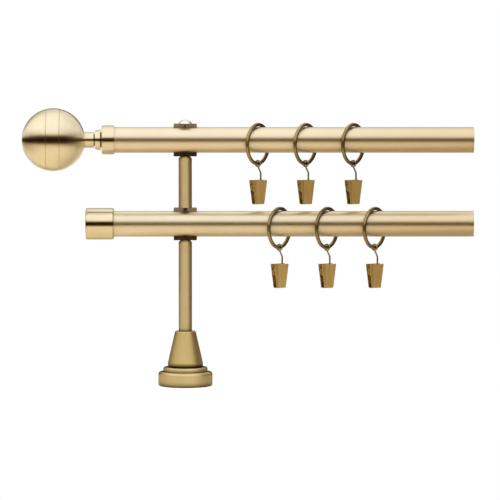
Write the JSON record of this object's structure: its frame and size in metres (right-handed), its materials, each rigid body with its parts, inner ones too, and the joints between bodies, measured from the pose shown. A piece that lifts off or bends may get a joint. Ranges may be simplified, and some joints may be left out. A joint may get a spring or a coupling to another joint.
{
  "type": "double curtain pole",
  "caption": "Double curtain pole: a round wall flange and stem carry two parallel tubes, a ball finial, an end cap, and sliding rings with spring clips.",
  "frame": {"origin": "centre of the wall plate's face that meets the wall", "axes": "+Z out of the wall along the stem, +X along the poles towards their cut ends, -Y towards the open side of the pole holders"},
  "size_m": [0.4409, 0.0616, 0.2715],
  "materials": {
    "polished_brass": "polished",
    "satin_brass": "satin",
    "antique_brass": "antique satin",
    "clip_brass": "satin",
    "steel": "zinc plated",
    "dark_steel": "blackened"
  },
  "bodies": {
    "bracket_and_poles": {"wall_plate": "steel", "wall_flange": "satin_brass", "cone_collar": "satin_brass", "lower_stem": "satin_brass", "rear_cradle": "polished_brass", "upper_stem": "satin_brass", "front_cradle": "polished_brass", "dome_screw": "polished_brass", "joining_studs": "steel", "cradle_grub_screws": "dark_steel", "front_pole": "polished_brass", "finial_neck": "polished_brass", "finial_ball": "polished_brass", "finial_stud": "steel", "rear_pole": "polished_brass", "rear_end_cap": "polished_brass", "collar_grub_screws": "dark_steel"},
    "front_1_ring": {"front_ring_1": "antique_brass"},
    "front_1_clip": {"front_hook_1": "antique_brass", "front_clip_front_1": "clip_brass", "front_clip_pin_1": "clip_brass", "front_clip_spring_1": "dark_steel"},
    "front_1_jaw": {"front_clip_back_1": "clip_brass"},
    "front_2_ring": {"front_ring_2": "antique_brass"},
    "front_2_clip": {"front_hook_2": "antique_brass", "front_clip_front_2": "clip_brass", "front_clip_pin_2": "clip_brass", "front_clip_spring_2": "dark_steel"},
    "front_2_jaw": {"front_clip_back_2": "clip_brass"},
    "front_3_ring": {"front_ring_3": "antique_brass"},
    "front_3_clip": {"front_hook_3": "antique_brass", "front_clip_front_3": "clip_brass", "front_clip_pin_3": "clip_brass", "front_clip_spring_3": "dark_steel"},
    "front_3_jaw": {"front_clip_back_3": "clip_brass"},
    "rear_1_ring": {"rear_ring_1": "antique_brass"},
    "rear_1_clip": {"rear_hook_1": "antique_brass", "rear_clip_front_1": "clip_brass", "rear_clip_pin_1": "clip_brass", "rear_clip_spring_1": "dark_steel"},
    "rear_1_jaw": {"rear_clip_back_1": "clip_brass"},
    "rear_2_ring": {"rear_ring_2": "antique_brass"},
    "rear_2_clip": {"rear_hook_2": "antique_brass", "rear_clip_front_2": "clip_brass", "rear_clip_pin_2": "clip_brass", "rear_clip_spring_2": "dark_steel"},
    "rear_2_jaw": {"rear_clip_back_2": "clip_brass"},
    "rear_3_ring": {"rear_ring_3": "antique_brass"},
    "rear_3_clip": {"rear_hook_3": "antique_brass", "rear_clip_front_3": "clip_brass", "rear_clip_pin_3": "clip_brass", "rear_clip_spring_3": "dark_steel"},
    "rear_3_jaw": {"rear_clip_back_3": "clip_brass"}
  },
  "joints": [
    {"name": "front_1_ring_slide", "type": "slide", "parent": "bracket_and_poles", "child": "front_1_ring", "axis": [1, 0, 0], "range_m": [-0.046, 0.0125]},
    {"name": "front_1_clip_swing", "type": "hinge", "parent": "front_1_ring", "child": "front_1_clip", "pos_m": [0.0709, 0, 0.2176], "axis": [0.5446, 0.8387, 0], "range_deg": [-60, 60]},
    {"name": "front_1_jaw_open", "type": "hinge", "parent": "front_1_clip", "child": "front_1_jaw", "pos_m": [0.07115, 0.00016, 0.1937], "axis": [0.848, 0.5299, 0], "range_deg": [0, 22], "stiffness_Nm_per_rad": 0.05, "springref_deg": -17.19, "deforming": ["front_clip_spring_1"]},
    {"name": "front_2_ring_slide", "type": "slide", "parent": "bracket_and_poles", "child": "front_2_ring", "axis": [1, 0, 0], "range_m": [-0.0125, 0.0125]},
    {"name": "front_2_clip_swing", "type": "hinge", "parent": "front_2_ring", "child": "front_2_clip", "pos_m": [0.1174, 0, 0.2176], "axis": [0.5446, 0.8387, 0], "range_deg": [-60, 60]},
    {"name": "front_2_jaw_open", "type": "hinge", "parent": "front_2_clip", "child": "front_2_jaw", "pos_m": [0.11765, 0.00016, 0.1937], "axis": [0.848, 0.5299, 0], "range_deg": [0, 22], "stiffness_Nm_per_rad": 0.05, "springref_deg": -17.19, "deforming": ["front_clip_spring_2"]},
    {"name": "front_3_ring_slide", "type": "slide", "parent": "bracket_and_poles", "child": "front_3_ring", "axis": [1, 0, 0], "range_m": [-0.0125, 0.104]},
    {"name": "front_3_clip_swing", "type": "hinge", "parent": "front_3_ring", "child": "front_3_clip", "pos_m": [0.1639, 0, 0.2176], "axis": [0.5446, 0.8387, 0], "range_deg": [-60, 60]},
    {"name": "front_3_jaw_open", "type": "hinge", "parent": "front_3_clip", "child": "front_3_jaw", "pos_m": [0.16415, 0.00016, 0.1937], "axis": [0.848, 0.5299, 0], "range_deg": [0, 22], "stiffness_Nm_per_rad": 0.05, "springref_deg": -17.19, "deforming": ["front_clip_spring_3"]},
    {"name": "rear_1_ring_slide", "type": "slide", "parent": "bracket_and_poles", "child": "rear_1_ring", "axis": [1, 0, 0], "range_m": [-0.067, 0.0125]},
    {"name": "rear_1_clip_swing", "type": "hinge", "parent": "rear_1_ring", "child": "rear_1_clip", "pos_m": [0.0919, 0, 0.1356], "axis": [0.5446, 0.8387, 0], "range_deg": [-60, 60]},
    {"name": "rear_1_jaw_open", "type": "hinge", "parent": "rear_1_clip", "child": "rear_1_jaw", "pos_m": [0.09215, 0.00016, 0.1117], "axis": [0.848, 0.5299, 0], "range_deg": [0, 22], "stiffness_Nm_per_rad": 0.05, "springref_deg": -17.19, "deforming": ["rear_clip_spring_1"]},
    {"name": "rear_2_ring_slide", "type": "slide", "parent": "bracket_and_poles", "child": "rear_2_ring", "axis": [1, 0, 0], "range_m": [-0.0125, 0.0125]},
    {"name": "rear_2_clip_swing", "type": "hinge", "parent": "rear_2_ring", "child": "rear_2_clip", "pos_m": [0.1384, 0, 0.1356], "axis": [0.5446, 0.8387, 0], "range_deg": [-60, 60]},
    {"name": "rear_2_jaw_open", "type": "hinge", "parent": "rear_2_clip", "child": "rear_2_jaw", "pos_m": [0.13865, 0.00016, 0.1117], "axis": [0.848, 0.5299, 0], "range_deg": [0, 22], "stiffness_Nm_per_rad": 0.05, "springref_deg": -17.19, "deforming": ["rear_clip_spring_2"]},
    {"name": "rear_3_ring_slide", "type": "slide", "parent": "bracket_and_poles", "child": "rear_3_ring", "axis": [1, 0, 0], "range_m": [-0.0125, 0.083]},
    {"name": "rear_3_clip_swing", "type": "hinge", "parent": "rear_3_ring", "child": "rear_3_clip", "pos_m": [0.1849, 0, 0.1356], "axis": [0.5446, 0.8387, 0], "range_deg": [-60, 60]},
    {"name": "rear_3_jaw_open", "type": "hinge", "parent": "rear_3_clip", "child": "rear_3_jaw", "pos_m": [0.18515, 0.00016, 0.1117], "axis": [0.848, 0.5299, 0], "range_deg": [0, 22], "stiffness_Nm_per_rad": 0.05, "springref_deg": -17.19, "deforming": ["rear_clip_spring_3"]}
  ]
}
